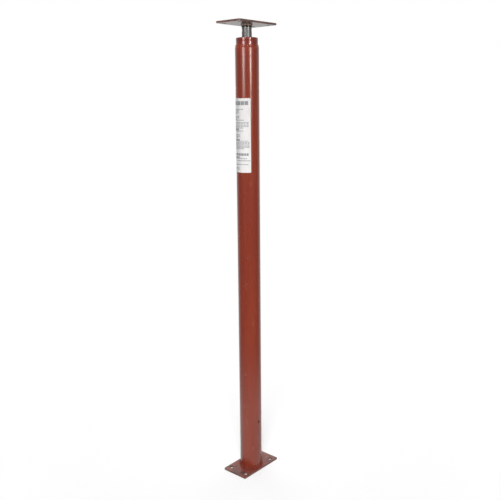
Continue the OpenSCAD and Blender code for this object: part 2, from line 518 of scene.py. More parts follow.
@dataclass(frozen=True)
class OiledSteel(Finish):
    """Bare steel with a film of oil: rolled, turned or forged.

    To the eye it is a neutral grey metal, browner in patches where the oil has held dirt. Where it has a
    bright and a dark radius, it grows darker from the first to the second, towards the roots of a thread, and
    keeps its grey on the crests.
    """

    colour: str = "#A6A4A2"
    grime_and_root_dark: str = "#4B443F"
    roughness: float = 0.33
    grime_roughness: float = 0.22
    grain_roughness: float = 0.12
    grime_patch: Pattern = Pattern(11 * MM, (0.44, 0.72), 5, 0.65)
    grime_share: float = 0.5
    root_dark_share: float = 0.85
    grain: Pattern = Pattern(0.6 * MM, detail=3, rough=0.6)
    grain_depth: float = 0.015 * MM
    lay: Lay = Lay.TURNED
    bright_radius: float = 0.0
    dark_radius: float = 0.0

    def shader_inputs(self, tree: Tree) -> dict[str, object]:
        """Colour, roughness and relief of the steel.

        Args:
            tree: The material's tree.

        Returns:
            The shader's inputs by name.
        """
        add = partial(add_node, tree)
        lines = replace(self.grain, stretch=self.lay.value).draw(tree)
        dirt_and_root_dark = add(Kind.MULTIPLY, [self.grime_patch.mask(tree), self.grime_share])
        # darker towards the thread's roots, from the bright radius to the dark one
        if self.dark_radius < self.bright_radius:
            toward_root = add(Kind.RAMP, [level_radius(tree), self.bright_radius, self.dark_radius])
            dirt_and_root_dark = add(Kind.MAXIMUM, [dirt_and_root_dark, add(Kind.MULTIPLY, [toward_root, self.root_dark_share])])
        rough = add(Kind.MIX_VALUE, [dirt_and_root_dark, self.roughness, self.roughness + self.grime_roughness])
        return {
            "Base Color": coats(tree, self.colour, (dirt_and_root_dark, self.grime_and_root_dark)),
            "Metallic": 1.0,
            "Roughness": add(Kind.MULTIPLY_ADD, [lines, self.grain_roughness, rough]),
            "Normal": relief(tree, (lines, self.grain_depth)),
        }


@dataclass(frozen=True)
class WeldMetal(Finish):
    """A run of wire-feed weld with paint or smoke over it.

    To the eye it is darker and rougher than the tube, with glints on its ripples, unless its colours are
    lightened to stand in for light that it lacks, which is painted light.
    """

    colour: str
    soot: str
    metallic: float = 0.0
    roughness: float = 0.42
    soot_roughness: float = 0.2
    soot_patch: Pattern = Pattern(7 * MM, (0.38, 0.66), 5, 0.65)
    spatter: Pattern = Pattern(1.1 * MM)
    spatter_depth: float = 0.06 * MM

    def shader_inputs(self, tree: Tree) -> dict[str, object]:
        """Colour, roughness and relief of the bead.

        Args:
            tree: The material's tree.

        Returns:
            The shader's inputs by name.
        """
        cloud = self.soot_patch.mask(tree)
        rough = [cloud, self.roughness, self.roughness + self.soot_roughness]
        return {
            "Base Color": coats(tree, self.colour, (cloud, self.soot)),
            "Metallic": self.metallic,
            "Roughness": add_node(tree, Kind.MIX_VALUE, rough),
            "Normal": relief(tree, (self.spatter.draw(tree), self.spatter_depth)),
        }


@dataclass(frozen=True)
class LabelPaper(Finish):
    """Coated white paper with gum on its back.

    To the eye it is a matt off-white sheet with a faint fibre, greyer where hands and dust have touched it.
    """

    name: str = "coated_label_paper"
    colour: str = "#F2F0EF"
    grey: str = "#DEDBD9"
    roughness: float = 0.5
    smudge: Pattern = Pattern(30 * MM, (0.45, 0.8), 5, 0.65)
    smudge_share: float = 0.55
    fibre: Pattern = Pattern(0.9 * MM, detail=4, rough=0.6)
    fibre_share: float = 0.12
    fibre_depth: float = 0.01 * MM
    ruck: Pattern = Pattern(18 * MM, detail=2, stretch=(1, 1, 0.3))
    ruck_depth: float = 0.15 * MM

    def shader_inputs(self, tree: Tree) -> dict[str, object]:
        """Colour, roughness and relief of the paper.

        Args:
            tree: The material's tree.

        Returns:
            The shader's inputs by name.
        """
        fibre = self.fibre.draw(tree)
        smudged = add_node(tree, Kind.MULTIPLY, [self.smudge.mask(tree), self.smudge_share])
        tone = add_node(tree, Kind.MULTIPLY_ADD, [fibre, self.fibre_share, smudged])
        return {
            "Base Color": coats(tree, self.colour, (tone, self.grey)),
            "Roughness": self.roughness,
            "Normal": relief(tree, (fibre, self.fibre_depth), (self.ruck.draw(tree), self.ruck_depth)),
        }


@dataclass(frozen=True)
class PrintersInk(Finish):
    """Grey-black ink.

    To the eye it is thin enough that the paper shows through in places.
    """

    colour: str
    worn: str
    roughness: float = 0.5
    gap: Pattern = Pattern(0.8 * MM, (0.45, 0.75), 4, 0.7)

    def shader_inputs(self, tree: Tree) -> dict[str, object]:
        """Colour and roughness of the ink.

        Args:
            tree: The material's tree.

        Returns:
            The shader's inputs by name.
        """
        colour = coats(tree, self.colour, (self.gap.mask(tree), self.worn))
        return {"Base Color": colour, "Roughness": self.roughness}


# ---------------------------------------------------------------- mesh work


def new_object(name: str, mesh: Mesh) -> Object:
    """Links a new object that shows the mesh.

    Args:
        name: The object's name.
        mesh: Its mesh.

    Returns:
        The object.
    """
    obj = bpy.data.objects.new(name, mesh)
    bpy.context.scene.collection.objects.link(obj)
    return obj


def from_bmesh(name: str, shape: bmesh.types.BMesh, outwards: bool = True) -> Object:
    """Turns a bmesh into an object and frees it.

    Args:
        name: The object's name.
        shape: The bmesh.
        outwards: Whether its faces are turned to point outwards.

    Returns:
        The object.
    """
    if outwards:
        bmesh.ops.recalc_face_normals(shape, faces=shape.faces)
    mesh = bpy.data.meshes.new(name)
    shape.to_mesh(mesh)
    shape.free()
    return new_object(name, mesh)


def apply_modifiers(obj: Object) -> Object:
    """Bakes an object's modifiers into a plain mesh.

    Args:
        obj: The object.

    Returns:
        The same object.
    """
    depsgraph = bpy.context.evaluated_depsgraph_get()
    mesh = bpy.data.meshes.new_from_object(
        obj.evaluated_get(depsgraph), preserve_all_data_layers=True, depsgraph=depsgraph
    )
    obj.modifiers.clear()
    obj.data = mesh
    return obj


def smooth(obj: Object, angle: float = SHARP_ANGLE) -> Object:
    """Shades an object smooth, apart from the edges that are sharper than the angle in degrees.

    Normals are weighed by face area, so that a long wall stays straight next to a small rounding.

    Args:
        obj: The object.
        angle: The angle.

    Returns:
        The same object.
    """
    obj.data.shade_smooth()
    obj.data.set_sharp_from_angle(angle=math.radians(angle))
    modifier = obj.modifiers.new("weigh", "WEIGHTED_NORMAL")
    modifier.keep_sharp = True
    return apply_modifiers(obj)


def dress(obj: Object, material: Material) -> Object:
    """Gives an object one material for all its faces.

    Args:
        obj: The object.
        material: The material.

    Returns:
        The same object.
    """
    obj.data.materials.clear()
    obj.data.materials.append(material)
    obj.data.polygons.foreach_set("material_index", [0] * len(obj.data.polygons))
    return obj


def lathe(name: str, outline: Sequence[Point2], segments: int = TUBE_SEGMENTS) -> Object:
    """Turns a closed outline about the Z axis.

    Args:
        name: The object's name.
        outline: Points (radius, height) in order. A point on the axis becomes a pole.
        segments: How many steps go round.

    Returns:
        A closed solid.
    """
    shape = bmesh.new()
    rings: list[list[bmesh.types.BMVert]] = []
    for radius, height in outline:
        if radius < AXIS_EPS:
            rings.append([shape.verts.new((0, 0, height))])
            continue
        angles = [2 * math.pi * i / segments for i in range(segments)]
        rings.append([shape.verts.new((radius * math.cos(a), radius * math.sin(a), height)) for a in angles])
    for first, second in zip(rings, rings[1:] + rings[:1]):
        if len(first) == 1 and len(second) == 1:
            continue
        for i in range(segments):
            j = (i + 1) % segments
            near = [first[i % len(first)], first[j % len(first)]]
            far = [second[j % len(second)], second[i % len(second)]]
            shape.faces.new(list(dict.fromkeys(near + far)))
    return from_bmesh(name, shape)


def arc_points(centre: Point2, radius: float, start: float, end: float, steps: int = 6) -> list[Point2]:
    """Points of an arc between two angles in degrees."""
    angles = [math.radians(start + (end - start) * i / steps) for i in range(steps + 1)]
    return [(centre[0] + radius * math.cos(a), centre[1] + radius * math.sin(a)) for a in angles]


def neck_points(start: Point2, end: Point2, steps: int = 10) -> list[Point2]:
    """Points of a smooth neck from one radius and height to the next.

    Args:
        start: Radius and height at one end.
        end: Radius and height at the other end.
        steps: How many steps lie between them.

    Returns:
        The points, from start to end.
    """
    wide, tall = end[0] - start[0], end[1] - start[1]
    shares = [i / steps for i in range(steps + 1)]
    return [(start[0] + wide * (1 - math.cos(math.pi * t)) / 2, start[1] + tall * t) for t in shares]


def wall_points(radius: float, start: float, end: float, stops: Iterable[float] = ()) -> list[Point2]:
    """Points up or down a straight wall, with extra rings at the stops that lie on it.

    Args:
        radius: The wall's radius.
        start: Height of the first point.
        end: Height of the last point.
        stops: Heights of the extra rings.

    Returns:
        The points, from start to end.
    """
    low, high = min(start, end), max(start, end)
    heights = sorted({low, high, *[s for s in stops if low < s < high]}, reverse=start > end)
    return [(radius, h) for h in heights]


@dataclass(frozen=True)
class CrossHole:
    """A round hole across the prop.

    Attributes:
        at: A point on the hole's axis, in the middle of the prop.
        axis: Direction of the hole.
        radius: Radius of the hole.
        through: Whether it goes through both walls, and not only through the one that the axis points at.
    """

    at: Vector
    axis: Vector
    radius: float
    through: bool = True

    @classmethod
    def from_mount(cls, record: dict, name: str) -> CrossHole:
        """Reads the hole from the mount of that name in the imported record."""
        mount = next(m for m in record["mounts"] if m["name"] == name)
        return cls(Vector(mount["pos_m"]), Vector(mount["axis"]).normalized(), mount["dims"]["r_mm"] * MM)

    def stops(self) -> list[float]:
        """Heights just under and over the hole, for rings in the wall that it goes through."""
        return [self.at.z + side * (self.radius + HOLE_MARGIN) for side in (-1, 1)]

    def cutter(self, around: float) -> Object:
        """Makes a round cutter for the hole.

        Args:
            around: Radius of the piece that is cut.

        Returns:
            The cutter.
        """
        length = CUTTER_REACH * around
        depth, shift = (length, 0) if self.through else (length / 2, length / 4)
        turn = self.axis.to_track_quat("Z", "Y").to_matrix().to_4x4()
        shape = bmesh.new()
        bmesh.ops.create_cone(
            shape,
            cap_ends=True,
            segments=HOLE_SEGMENTS,
            radius1=self.radius,
            radius2=self.radius,
            depth=depth,
            matrix=Matrix.Translation(self.at) @ turn @ Matrix.Translation((0, 0, shift)),
        )
        return from_bmesh("cutter", shape)


def cut(obj: Object, cutters: Sequence[Object]) -> Object:
    """Takes the cutters out of an object and removes them.

    Args:
        obj: The object.
        cutters: What is cut out of it.

    Returns:
        The same object.
    """
    for cutter in cutters:
        modifier = obj.modifiers.new("cut", "BOOLEAN")
        modifier.operation = "DIFFERENCE"
        modifier.solver = "EXACT"
        modifier.object = cutter
    apply_modifiers(obj)
    for cutter in cutters:
        bpy.data.objects.remove(cutter)
    return obj


def softened(name: str, node: str, width: float, material: Material) -> Object:
    """Copies a CAD node's mesh, joins its loose triangles, rounds its edges and dresses it.

    Args:
        name: Name of the new object.
        node: The CAD node to copy.
        width: Width of the rounding.
        material: The piece's material.

    Returns:
        The copy, which lies where the node lies.
    """
    shape = bmesh.new()
    shape.from_mesh(bpy.data.objects[node].data)
    bmesh.ops.remove_doubles(shape, verts=shape.verts, dist=MERGE_DISTANCE)
    flat = math.radians(FLAT_ANGLE)
    bmesh.ops.dissolve_limit(shape, angle_limit=flat, verts=shape.verts, edges=shape.edges, delimit=set())
    obj = from_bmesh(name, shape)
    modifier = obj.modifiers.new("round", "BEVEL")
    modifier.width = width
    modifier.segments = ROUND_STEPS
    modifier.limit_method = "ANGLE"
    modifier.angle_limit = math.radians(ROUND_ANGLE)
    modifier.use_clamp_overlap = True
    return dress(smooth(apply_modifiers(obj)), material)


def join(name: str, pieces: Sequence[Object]) -> Object:
    """Joins meshes into one object.

    Args:
        name: The new object's name.
        pieces: The objects whose meshes are joined. They are removed.

    Returns:
        The new object.
    """
    shape = bmesh.new()
    for piece in pieces:
        shape.from_mesh(piece.data)
        bpy.data.objects.remove(piece)
    return from_bmesh(name, shape, outwards=False)


# ---------------------------------------------------------------- geometry node trees


@dataclass
class GeometryTree:
    """A Geometry Nodes tree that is being built, with its named inputs.

    Attributes:
        name: The tree's name.
        sizes: Names of its inputs that take a measure.
        counts: Names of its inputs that take a whole number.
    """

    name: str
    sizes: Sequence[str]
    counts: Sequence[str] = ()
    tree: Tree = field(init=False)
    given: bpy.types.NodeOutputs = field(init=False)

    def __post_init__(self) -> None:
        """Makes the tree's interface."""
        self.tree = bpy.data.node_groups.new(self.name, "GeometryNodeTree")
        kinds = {
            "Geometry": "NodeSocketGeometry",
            **dict.fromkeys(self.sizes, "NodeSocketFloat"),
            **dict.fromkeys(self.counts, "NodeSocketInt"),
            "Material": "NodeSocketMaterial",
        }
        face = self.tree.interface
        for label, kind in kinds.items():
            face.new_socket(name=label, in_out="INPUT", socket_type=kind)
        face.new_socket(name="Geometry", in_out="OUTPUT", socket_type="NodeSocketGeometry")
        self.given = add_node(self.tree, Kind.TREE_INPUT).outputs

    def close(self, geometry: Node) -> Tree:
        """Realizes the instances, sets the material and wires the output.

        Args:
            geometry: The node that ends the geometry.

        Returns:
            The finished tree.
        """
        real = add_node(self.tree, Kind.REALIZE, {"Geometry": geometry})
        inputs = {"Geometry": real, "Material": self.given["Material"]}
        dressed = add_node(self.tree, Kind.SET_MATERIAL, inputs)
        add_node(self.tree, Kind.TREE_OUTPUT, {"Geometry": dressed})
        return self.tree


def grow(name: str, tree: Tree, values: dict[str, object], start: Mesh | None = None) -> Object:
    """Runs a geometry tree and keeps its result as a plain mesh.

    Args:
        name: Name of the object.
        tree: The geometry tree.
        values: Values of the tree's named inputs.
        start: The mesh that the tree starts from, if it needs one.

    Returns:
        The object, without its modifier.
    """
    obj = new_object(name, start or bpy.data.meshes.new(name))
    modifier = obj.modifiers.new("grow", "NODES")
    modifier.node_group = tree
    for item in tree.interface.items_tree:
        if item.in_out == "INPUT" and item.name in values:
            modifier[item.identifier] = values[item.name]
    return apply_modifiers(obj)


def thread_tree() -> Tree:
    """A trapezoid ridge that winds round the Z axis: the thread of a jack screw.

    Returns:
        The geometry tree.
    """
    sizes = ("Root radius", "Ridge height", "Root width", "Crest width", "Pitch", "Turns", "Bottom")
    t = GeometryTree("jack_screw_thread", sizes, ("Steps a turn",))
    add, given = partial(add_node, t.tree), t.given
    middle = add(Kind.MULTIPLY_ADD, [given["Ridge height"], 0.5, given["Root radius"]])
    helix = add(
        Kind.SPIRAL,
        {
            "Resolution": given["Steps a turn"],
            "Rotations": given["Turns"],
            "Start Radius": middle,
            "End Radius": middle,
            "Height": add(Kind.MULTIPLY, [given["Pitch"], given["Turns"]]),
        },
    )
    profile = add(
        Kind.TRAPEZOID,
        {
            "Height": given["Ridge height"],
            "Bottom Width": given["Root width"],
            "Top Width": given["Crest width"],
            "Offset": 0.0,
        },
    )
    upright = add(Kind.UPRIGHT_CURVE, {"Curve": helix})
    turned = add(Kind.TRANSFORM, {"Geometry": profile, "Rotation": (0, 0, -math.pi / 2)})
    ridge = add(Kind.SWEEP, {"Curve": upright, "Profile Curve": turned, "Fill Caps": True})
    lift = add(Kind.VECTOR, {"Z": given["Bottom"]})
    return t.close(add(Kind.TRANSFORM, {"Geometry": ridge, "Translation": lift}))


def weld_tree() -> Tree:
    """A rippled fillet of weld round the Z axis, standing on a face at a given height.

    Returns:
        The geometry tree.
    """
    sizes = ("Radius", "Foot", "Up", "Leg", "Slope power", "Sink", "Ripples", "Ripple depth", "Ripple bow")
    wander = ("Least leg", "Wander", "Wander scale", "Seed")
    t = GeometryTree("weld_bead", (*sizes, *wander), ("Steps round", "Steps across"))
    add, given = partial(add_node, t.tree), t.given
    counts = {"Vertices X": given["Steps round"], "Vertices Y": given["Steps across"]}
    grid = add(Kind.GRID, {"Size X": 1.0, "Size Y": 1.0, **counts})
    at = add(Kind.SPLIT, [add(Kind.POSITION)]).outputs
    turn = add(Kind.ADD, [at["X"], 0.5])
    across = add(Kind.MULTIPLY, [add(Kind.ADD, [at["Y"], 0.5]), math.pi / 2])
    angle = add(Kind.MULTIPLY, [turn, 2 * math.pi])
    round_x, round_y = add(Kind.COSINE, [angle]), add(Kind.SINE, [angle])
    # each ripple rises slowly and drops at its edge; the edge bows forward in the middle of the bead
    belly = add(Kind.SINE, [add(Kind.MULTIPLY, [across, 2.0])])
    bow = add(Kind.MULTIPLY, [belly, given["Ripple bow"]])
    phase = add(Kind.FRACT, [add(Kind.ADD, [add(Kind.MULTIPLY, [turn, given["Ripples"]]), bow])])
    ripple = add(Kind.MULTIPLY, [add(Kind.POWER, [phase, 2.0]), given["Ripple depth"]])
    # the leg wanders a little, without a seam, because the noise is read on a circle
    circle = add(Kind.VECTOR, [round_x, round_y, given["Seed"]])
    noise = add(Kind.NOISE, {"Vector": circle, "Scale": given["Wander scale"], "Detail": 3.0})
    wandering = add(Kind.MULTIPLY_ADD, [noise, given["Wander"], given["Least leg"]])
    leg = add(Kind.MULTIPLY, [given["Leg"], wandering])
    # the slope runs from the foot of the bead to its top, between a quarter circle and a straight line
    out_share = add(Kind.POWER, [add(Kind.COSINE, [across]), given["Slope power"]])
    up_share = add(Kind.POWER, [add(Kind.SINE, [across]), given["Slope power"]])
    inner = add(Kind.SUBTRACT, [given["Radius"], given["Sink"]])
    swell = add(Kind.MULTIPLY, [ripple, belly])
    reach = add(Kind.ADD, [add(Kind.MULTIPLY_ADD, [leg, out_share, inner]), swell])
    rise = add(Kind.ADD, [add(Kind.MULTIPLY, [leg, up_share]), swell])
    height = add(Kind.MULTIPLY_ADD, [rise, given["Up"], given["Foot"]])
    flat = [add(Kind.MULTIPLY, [side, reach]) for side in (round_x, round_y)]
    target = add(Kind.VECTOR, [*flat, height])
    bent = add(Kind.SET_POSITION, {"Geometry": grid, "Position": target})
    return t.close(add(Kind.MERGE, {"Geometry": bent, "Distance": SEAM_DISTANCE}))


def print_tree() -> Tree:
    """Small printed bars laid on points and wrapped round a tube.

    Each point holds its bar's width and height.

    Returns:
        The geometry tree.
    """
    t = GeometryTree("printed_bars", ("Tube radius", "Middle angle"), ("Columns",))
    add, given = partial(add_node, t.tree), t.given
    # many columns, so that a long rule bends with the tube and doesn't sink under the paper
    counts = {"Vertices X": given["Columns"], "Vertices Y": 2}
    bar = add(Kind.GRID, {"Size X": 1.0, "Size Y": 1.0, **counts})
    sides = [add(Kind.NUMBER_ATTRIBUTE, {"Name": label}) for label in ("bar_width", "bar_height")]
    size = add(Kind.VECTOR, [*sides, 1.0])
    bars = add(Kind.PLACE_COPIES, {"Points": given["Geometry"], "Instance": bar, "Scale": size})
    real = add(Kind.REALIZE, {"Geometry": bars})
    at = add(Kind.SPLIT, [add(Kind.POSITION)]).outputs
    angle = add(Kind.ADD, [add(Kind.DIVIDE, [at["X"], given["Tube radius"]]), given["Middle angle"]])
    turned = [add(turn, [angle]) for turn in (Kind.COSINE, Kind.SINE)]
    flat = [add(Kind.MULTIPLY, [side, given["Tube radius"]]) for side in turned]
    wrapped = add(Kind.VECTOR, [*flat, at["Y"]])
    return t.close(add(Kind.SET_POSITION, {"Geometry": real, "Position": wrapped}))


# ---------------------------------------------------------------- the prop's sub-assemblies


def seat(obj: Object, body: Body, slot: Slot, *nodes: str) -> None:
    """Lets a finished piece ride on its body and replace its CAD nodes.

    Args:
        obj: The finished piece.
        body: The body that it rides on.
        slot: The material slot that it takes its finish from. Not used.
        *nodes: The CAD nodes that it stands for.
    """
    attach(obj, body.value)
    if nodes:
        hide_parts(*nodes)
    LOG.info("%s rides on %s, %d faces", obj.name, body.value, len(obj.data.polygons))


@dataclass(frozen=True)
class WeldBead:
    """One rippled bead of weld round the prop's axis.

    Attributes:
        name: Name of the piece.
        node: The CAD node that it stands for.
        metal: Its finish.
        leg: Leg of the fillet.
        ripples: How many ripples go round.
        ripple_depth: Depth of a ripple.
        seed: Where the wander of its leg is read.
        hangs: Whether it hangs under its face, and doesn't stand on it.
        ripple_bow: How far a ripple's edge bows forward, in ripples.
        slope_power: Shape of its slope. 1 is a quarter circle, 2 is straight.
        sink: How far it reaches into the piece that it goes round.
        least_leg: Share of its leg that it never falls below.
        wander: Share of its leg by which it wanders above that.
        wander_scale: How many lumps of the wander lie on the bead's radius.
        steps_round: Vertices round the bead.
        steps_across: Vertices across its slope.
    """

    name: str
    node: str
    metal: WeldMetal
    leg: float
    ripples: float
    ripple_depth: float
    seed: float
    hangs: bool = False
    ripple_bow: float = 0.45
    slope_power: float = 1.35
    sink: float = 0.05 * MM
    least_leg: float = 0.62
    wander: float = 0.5
    wander_scale: float = 3.5
    steps_round: int = 901
    steps_across: int = 9

    def lay(self, radius: float, foot: float, body: Body) -> None:
        """Lays the bead and seats it.

        Args:
            radius: Radius of the piece that it goes round.
            foot: Height of the face that it stands on or hangs from.
            body: The body that it rides on.
        """
        values = {
            "Radius": radius,
            "Foot": foot,
            "Up": -1.0 if self.hangs else 1.0,
            "Leg": self.leg,
            "Slope power": self.slope_power,
            "Sink": self.sink,
            "Ripples": self.ripples,
            "Ripple depth": self.ripple_depth,
            "Ripple bow": self.ripple_bow,
            "Least leg": self.least_leg,
            "Wander": self.wander,
            "Wander scale": self.wander_scale,
            "Seed": self.seed,
            "Steps round": self.steps_round,
            "Steps across": self.steps_across,
            "Material": self.metal.build(),
        }
        bead = grow(self.name, weld_tree(), values)
        if self.hangs:
            bead.data.flip_normals()
        seat(smooth(bead, BEAD_SHARP_ANGLE), body, Slot.WELD, self.node)


@dataclass
class StandingPost:
    """Base plate, foot weld and outer tube."""

    record: dict
    wall: float = 1.7 * MM
    lip_length: float = 2.5 * MM
    lip_neck: float = 8 * MM
    guide_gap: float = 0.4 * MM
    rim: float = 1.2 * MM
    vent_radius: float = 4 * MM
    vent_height: float = 171 * MM
    edge: float = 0.7 * MM
    paint: BrushedPaint = BrushedPaint(
        "brushed_red_enamel",
        colour="#923B26",
        shade="#7E2F20",
        rub_bands=((-10 * MM, 14 * MM), (1445 * MM, 1456 * MM)),
    )
    bead: WeldBead = WeldBead(
        "foot_weld_bead",
        "foot_weld",
        WeldMetal("painted_weld_bead", "#7C3122", "#5A251B", roughness=0.5),
        leg=5 * MM,
        ripples=84.0,
        ripple_depth=0.45 * MM,
        seed=2.0,
    )

    def build(self) -> None:
        """Makes the three pieces."""
        seat(self._tube(self.paint.build()), Body.POST, Slot.TUBE, "outer_tube")
        low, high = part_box("outer_tube")
        # the base plate gets a dark red round the post's foot, partly run-off paint and partly painted
        # reflection and shade
        scale = MillPlatePaint("painted_mill_plate", smear_and_reflection_radius=high.x).build()
        plate = softened("base_flat_bar", "base_plate", self.edge, scale)
        seat(plate, Body.POST, Slot.PLATE, "base_plate")
        self.bead.lay(high.x, low.z, Body.POST)

    def _tube(self, paint: Material) -> Object:
        """The outer tube with its swaged lip, locking hole and vent hole.

        Args:
            paint: The tube's material.

        Returns:
            The tube.
        """
        low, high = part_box("outer_tube")
        inner_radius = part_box("nut_cap")[1].x
        radius, bore = high.x, high.x - self.wall
        lip_bore = inner_radius + self.guide_gap
        lip_outer = lip_bore + self.wall
        lip_bottom = high.z - self.lip_length
        neck_bottom = lip_bottom - self.lip_neck
        lock = CrossHole.from_mount(self.record, "lock_pin_hole")
        vent_at = Vector((0, 0, low.z + self.vent_height))
        vent = CrossHole(vent_at, Vector((0, -1, 0)), self.vent_radius, through=False)
        stops = lock.stops() + vent.stops()
        outline = (
            wall_points(radius, low.z, neck_bottom, stops)
            + neck_points((radius, neck_bottom), (lip_outer, lip_bottom))[1:]
            + arc_points((lip_outer - self.rim, high.z - self.rim), self.rim, 0, 90)
            + [(lip_bore, high.z)]
            + neck_points((lip_bore, lip_bottom), (bore, neck_bottom))
            + wall_points(bore, neck_bottom, low.z, stops)[1:]
        )
        tube = lathe("outer_tube_shell", outline)
        return dress(smooth(cut(tube, [hole.cutter(radius) for hole in (lock, vent)])), paint)


@dataclass
class InnerColumn:
    """Inner tube with its row of locking holes, its cap and the nut under the cap."""

    record: dict
    wall: float = 1.7 * MM
    swage_length: float = 22 * MM
    swage_neck: float = 8 * MM
    rim: float = 1.2 * MM
    lock_pitch: float = 101.6 * MM
    lock_count: int = 11
    edge: float = 0.5 * MM
    weld_edge: float = 0.3 * MM
    paint: BrushedPaint = BrushedPaint(
        "rubbed_red_enamel", colour="#863628", shade="#722A22", roughness=0.17, dust_share=0.06
    )
    forged: OiledSteel = OiledSteel("forged_nut_steel", colour="#8D8A87", lay=Lay.FORGED)
    smoked: WeldMetal = WeldMetal("smoked_weld_bead", "#55504C", "#332E2B", metallic=0.6)

    def build(self) -> None:
        """Makes the four pieces."""
        paint = self.paint.build()
        seat(self._tube(paint), Body.INNER, Slot.INNER, "inner_tube")
        cap = softened("screw_cap", "nut_cap", self.edge, paint)
        seat(cap, Body.INNER, Slot.INNER, "nut_cap")
        nut = softened("screw_nut_forging", "screw_nut", self.edge, self.forged.build())
        seat(nut, Body.INNER, Slot.NUT, "screw_nut")
        runs = softened("nut_weld_runs", "nut_weld", self.weld_edge, self.smoked.build())
        seat(runs, Body.INNER, Slot.WELD, "nut_weld")

    def _tube(self, paint: Material) -> Object:
        """The inner tube with its swaged foot and its holes.

        Args:
            paint: The tube's material.

        Returns:
            The tube.
        """
        low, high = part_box("inner_tube")
        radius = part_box("nut_cap")[1].x
        bore = radius - self.wall
        swage = high.x
        swage_bore = swage - self.wall
        swage_top = low.z + self.swage_length
        neck_top = swage_top + self.swage_neck
        lock = CrossHole.from_mount(self.record, "lock_pin_hole")
        heights = [lock.at.z - i * self.lock_pitch for i in range(self.lock_count)]
        holes = [replace(lock, at=Vector((0, 0, h))) for h in heights]
        stops = [stop for hole in holes for stop in hole.stops()]
        outline = (
            [(swage_bore, low.z)]
            + arc_points((swage - self.rim, low.z + self.rim), self.rim, 270, 360)
            + neck_points((swage, swage_top), (radius, neck_top))
            + wall_points(radius, neck_top, high.z - self.rim, stops)[1:]
            + arc_points((radius - self.rim, high.z - self.rim), self.rim, 0, 90)[1:]
            + [(bore, high.z)]
            + wall_points(bore, high.z, neck_top, stops)[1:]
            + neck_points((bore, neck_top), (swage_bore, swage_top))[1:]
        )
        tube = lathe("inner_tube_shell", outline)
        return dress(smooth(cut(tube, [hole.cutter(radius) for hole in holes])), paint)


@dataclass
class JackScrew:
    """The adjusting screw with its thread, and the washer and pin that stop it from below."""

    record: dict
    pitch: float = 5.08 * MM
    thread_depth: float = 2.3 * MM
    thread_sink: float = 0.2 * MM
    thread_start: float = 7.5 * MM
    root_share: float = 0.72
    crest_share: float = 0.34
    shank: float = 34.4 * MM
    spigot_radius: float = 10 * MM
    edge: float = 1.5 * MM
    stop_edge: float = 0.4 * MM
    pin_radius: float = 3.05 * MM
    pin_rise: float = 6 * MM
    thread_steps: int = 72
    core_segments: int = 128
    sharp_angle: float = 30
    plain: OiledSteel = OiledSteel("stop_washer_steel", colour="#9A9896")

    def build(self) -> None:
        """Makes the screw and what hangs on its lower end."""
        seat(self._screw(), Body.SCREW, Slot.SCREW, "adjusting_screw")
        plain = self.plain.build()
        for name, node in (("stop_washer_disc", "stop_washer"), ("stop_pin_rod", "stop_pin")):
            seat(softened(name, node, self.stop_edge, plain), Body.SCREW, Slot.NUT, node)

    def _screw(self) -> Object:
        """The core, with its shank, spigot and holes, and the ridge of the thread round it.

        Returns:
            The screw in one piece.
        """
        low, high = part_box("adjusting_screw")
        radius, spigot_radius = high.x, self.spigot_radius
        root = radius - self.thread_depth
        steel = OiledSteel(
            "rolled_thread_steel",
            colour="#8A8988",
            roughness=0.43,
            grime_share=0.12,
            lay=Lay.DRAWN,
            bright_radius=radius,
            dark_radius=root,
        ).build()
        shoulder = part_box("thrust_washer")[0].z
        thread_top = shoulder - self.shank
        outline = [
            (0, low.z),
            (root - self.edge, low.z),
            (root, low.z + self.edge),
            (root, thread_top - self.edge),
            (radius, thread_top),
            (radius, shoulder - self.edge),
            (radius - self.edge, shoulder),
            (spigot_radius, shoulder),
            (spigot_radius, high.z - self.edge),
            (spigot_radius - self.edge, high.z),
            (0, high.z),
        ]
        core = lathe("screw_core", outline, self.core_segments)
        bar = CrossHole.from_mount(self.record, "turning_bar_hole")
        pin = replace(bar, at=Vector((0, 0, low.z + self.pin_rise)), radius=self.pin_radius)
        cut(core, [hole.cutter(radius) for hole in (bar, pin)])
        thread_bottom = pin.at.z + self.pin_radius + self.thread_start
        values = {
            "Root radius": root - self.thread_sink,
            "Ridge height": self.thread_depth + self.thread_sink,
            "Root width": self.pitch * self.root_share,
            "Crest width": self.pitch * self.crest_share,
            "Pitch": self.pitch,
            "Turns": (thread_top - self.edge - thread_bottom) / self.pitch,
            "Bottom": thread_bottom,
            "Steps a turn": self.thread_steps,
            "Material": steel,
        }
        ridge = grow("screw_thread", thread_tree(), values)
        return dress(smooth(join("jack_screw", [core, ridge]), self.sharp_angle), steel)


